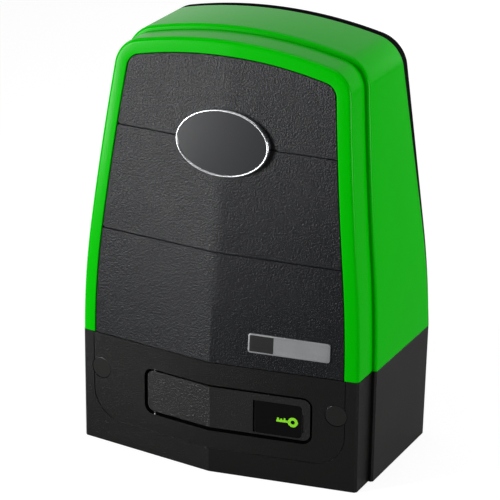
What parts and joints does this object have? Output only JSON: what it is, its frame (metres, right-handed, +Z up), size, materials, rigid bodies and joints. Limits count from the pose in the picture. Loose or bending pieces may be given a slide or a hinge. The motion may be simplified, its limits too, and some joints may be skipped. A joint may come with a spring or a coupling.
{
  "type": "sliding gate motor",
  "caption": "Electromechanical operator for a sliding gate: creased green cover with black fascia, black base with keyed release door, rear rack pinion driven through worm gear and clutch.",
  "frame": {"origin": "on the underside, at the centre of the four fixing holes", "axes": "+Z up; +Y away from the viewer who faces the release door, towards the gate and the pinion; +X to that viewer's right"},
  "size_m": [0.243, 0.1945, 0.3435],
  "materials": {
    "cover_green": "satin moulded plastic",
    "fascia_black": "fine grained black plastic",
    "base_black": "satin black plastic",
    "panel_black": "satin black plastic",
    "badge_dark": "smooth dark plastic, bare",
    "rim_silver": "bright silver rim",
    "plate_silver": "satin printed foil, no lettering",
    "door_black": "satin black plastic",
    "flap_black": "black plastic with a green key pictogram",
    "zinc": "bright zinc plated",
    "steel": "ground steel",
    "hard_steel": "oiled hardened steel",
    "lock_metal": "nickel plated",
    "cast": "as die cast",
    "bronze": "cut bronze, greased",
    "rubber": "black rubber",
    "gasket": "fibre gasket",
    "can_paint": "black enamel",
    "ferrite": "sintered ferrite",
    "lamination": "stacked steel sheet",
    "copper": "varnished copper",
    "carbon": "carbon graphite",
    "holder": "moulded phenolic",
    "battery_grey": "moulded plastic case",
    "terminal_brass": "tinned brass",
    "strap": "woven strap",
    "galvanised": "galvanised sheet",
    "deck_plastic": "moulded plastic",
    "controller_grey": "moulded plastic",
    "board_green": "coated circuit board",
    "screen": "unlit display window",
    "terminal_green": "moulded plastic",
    "button_black": "moulded rubber"
  },
  "bodies": {
    "base": {"base_housing": "base_black", "base_front": "base_black", "side_plugs": "base_black", "front_screws": "zinc", "door_hinge_pin": "steel", "cable_grommet": "rubber", "gearbox_case": "cast", "gearbox_gasket": "gasket", "gearbox_cover": "cast", "gearbox_screws": "zinc", "foot_bolts": "zinc", "front_bearing": "steel", "rear_bearing": "steel", "worm_lower_bearing": "steel", "worm_upper_bearing": "steel", "shaft_seal": "rubber", "motor_can": "can_paint", "motor_magnets": "ferrite", "brush_plate": "holder", "motor_brushes": "carbon", "motor_end_cap": "can_paint", "motor_screws": "zinc", "deck": "deck_plastic", "battery": "battery_grey", "battery_terminals": "terminal_brass", "battery_strap": "strap", "controller_bracket": "galvanised", "controller_case": "controller_grey", "controller_board": "board_green", "controller_lid": "controller_grey", "display": "screen", "terminal_blocks": "terminal_green"},
    "cover": {"cover_shell": "cover_green", "fascia": "fascia_black", "rear_panel": "panel_black", "oval_badge": "badge_dark", "badge_rim": "rim_silver", "model_plate": "plate_silver"},
    "door": {"release_door": "door_black", "flap_pin": "steel"},
    "flap": {"key_flap": "flap_black"},
    "lock": {"lock_barrel": "lock_metal", "lock_cam": "zinc"},
    "output": {"output_shaft": "steel", "pinion_key": "steel", "pinion": "zinc", "pinion_bolt": "zinc", "shaft_circlip": "hard_steel"},
    "wheel": {"worm_wheel": "bronze"},
    "worm": {"worm_shaft": "hard_steel", "armature": "lamination", "armature_windings": "copper", "commutator": "copper"},
    "sleeve": {"clutch_sleeve": "hard_steel"},
    "fork": {"clutch_fork": "zinc", "release_rod": "steel"},
    "menu_button": {"menu_button": "button_black"},
    "down_button": {"down_button": "button_black"},
    "up_button": {"up_button": "button_black"}
  },
  "joints": [
    {"name": "cover_lift", "type": "slide", "parent": "base", "child": "cover", "axis": [0, 0, 1], "range_m": [0, 0.24]},
    {"name": "release_door", "type": "hinge", "parent": "base", "child": "door", "pos_m": [-0.052, -0.08347, 0.0545], "axis": [0, 0, -1], "range_deg": [0, 100]},
    {"name": "key_flap", "type": "hinge", "parent": "door", "child": "flap", "pos_m": [0.037, -0.08744, 0.0524], "axis": [0, 0, -1], "range_deg": [0, 110]},
    {"name": "lock_turn", "type": "hinge", "parent": "door", "child": "lock", "pos_m": [0.06, -0.08703, 0.0525], "axis": [-0.1385, 0.9904, 0], "range_deg": [0, 90]},
    {"name": "worm_spin", "type": "hinge", "parent": "base", "child": "worm", "pos_m": [0.051, -0.004, 0.06], "axis": [0, 0, 1], "continuous": true},
    {"name": "wheel_spin", "type": "hinge", "parent": "base", "child": "wheel", "pos_m": [-0.01, -0.004, 0.06], "axis": [0, 1, 0], "continuous": true},
    {"name": "output_spin", "type": "hinge", "parent": "base", "child": "output", "pos_m": [-0.01, 0.073, 0.06], "axis": [0, 1, 0], "continuous": true},
    {"name": "clutch_slide", "type": "slide", "parent": "output", "child": "sleeve", "axis": [0, -1, 0], "range_m": [0, 0.005]},
    {"name": "fork_slide", "type": "slide", "parent": "base", "child": "fork", "axis": [0, -1, 0], "range_m": [0, 0.005]},
    {"name": "menu_press", "type": "slide", "parent": "base", "child": "menu_button", "axis": [0, 1, 0], "range_m": [0, 0.0012], "stiffness_N_per_m": 150},
    {"name": "down_press", "type": "slide", "parent": "base", "child": "down_button", "axis": [0, 1, 0], "range_m": [0, 0.0012], "stiffness_N_per_m": 150},
    {"name": "up_press", "type": "slide", "parent": "base", "child": "up_button", "axis": [0, 1, 0], "range_m": [0, 0.0012], "stiffness_N_per_m": 150}
  ],
  "couplings": [
    {"joint": "wheel_spin", "follows": "worm_spin", "ratio": 0.027778},
    {"joint": "output_spin", "follows": "worm_spin", "ratio": 0.027778},
    {"joint": "clutch_slide", "follows": "release_door", "m_per_rad": 0.0028647},
    {"joint": "fork_slide", "follows": "release_door", "m_per_rad": 0.0028647}
  ]
}
